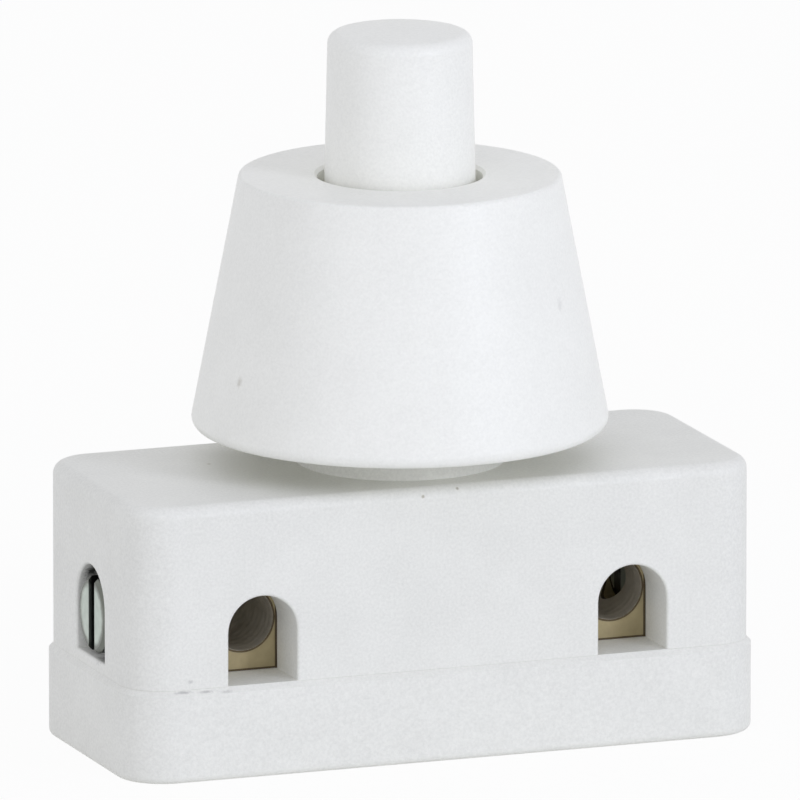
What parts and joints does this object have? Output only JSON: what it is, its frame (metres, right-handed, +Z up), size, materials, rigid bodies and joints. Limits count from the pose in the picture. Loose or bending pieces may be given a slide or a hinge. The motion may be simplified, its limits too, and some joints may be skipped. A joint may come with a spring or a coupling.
{
  "type": "lamp switch",
  "caption": "Built-in push-button lamp switch: white rectangular body with wire terminals, threaded neck, conical cap nut and a round spring-return button.",
  "frame": {"origin": "middle of the base cover's underside", "axes": "+Z up along the button's axis, +X along the body, wire windows facing -Y"},
  "size_m": [0.032, 0.0198, 0.0341],
  "materials": {
    "white_plastic": "satin",
    "button_plastic": "satin",
    "works_plastic": "natural",
    "brass": "dull",
    "zinc_plate": "zinc plated",
    "spring_steel": "drawn wire",
    "contact_silver": "silver"
  },
  "bodies": {
    "body": {"housing": "white_plastic", "base_cover": "white_plastic", "return_spring": "spring_steel", "left_terminal_block": "brass", "right_terminal_block": "brass", "left_contact_strip": "brass", "right_contact_strip": "brass", "left_contact_rivet": "contact_silver", "right_contact_rivet": "contact_silver"},
    "nut": {"cap_nut": "white_plastic"},
    "button": {"push_button": "button_plastic"},
    "rotor": {"ratchet_rotor": "works_plastic", "contact_bridge": "brass", "bridge_contacts": "contact_silver"},
    "left_screw": {"left_terminal_screw": "zinc_plate"},
    "right_screw": {"right_terminal_screw": "zinc_plate"}
  },
  "joints": [
    {"name": "button_press", "type": "slide", "parent": "body", "child": "button", "axis": [0, 0, -1], "range_m": [0, 0.003], "stiffness_N_per_m": 800, "springref_m": -0.003, "deforming": ["return_spring"]},
    {"name": "ratchet_turn", "type": "hinge", "parent": "body", "child": "rotor", "pos_m": [0, 0, 0.003], "axis": [0, 0, 1], "range_deg": [0, 90]},
    {"name": "nut_travel", "type": "slide", "parent": "body", "child": "nut", "axis": [0, 0, 1], "range_m": [-0.0016, 0.022]},
    {"name": "left_screw_turn", "type": "hinge", "parent": "body", "child": "left_screw", "pos_m": [-0.0133, -0.00035, 0.007], "axis": [1, 0, 0], "range_deg": [0, 1080]},
    {"name": "right_screw_turn", "type": "hinge", "parent": "body", "child": "right_screw", "pos_m": [0.0133, -0.00035, 0.007], "axis": [-1, 0, 0], "range_deg": [0, 1080]}
  ],
  "couplings": [
    {"joint": "ratchet_turn", "follows": "button_press", "rad_per_m": 523.6}
  ]
}
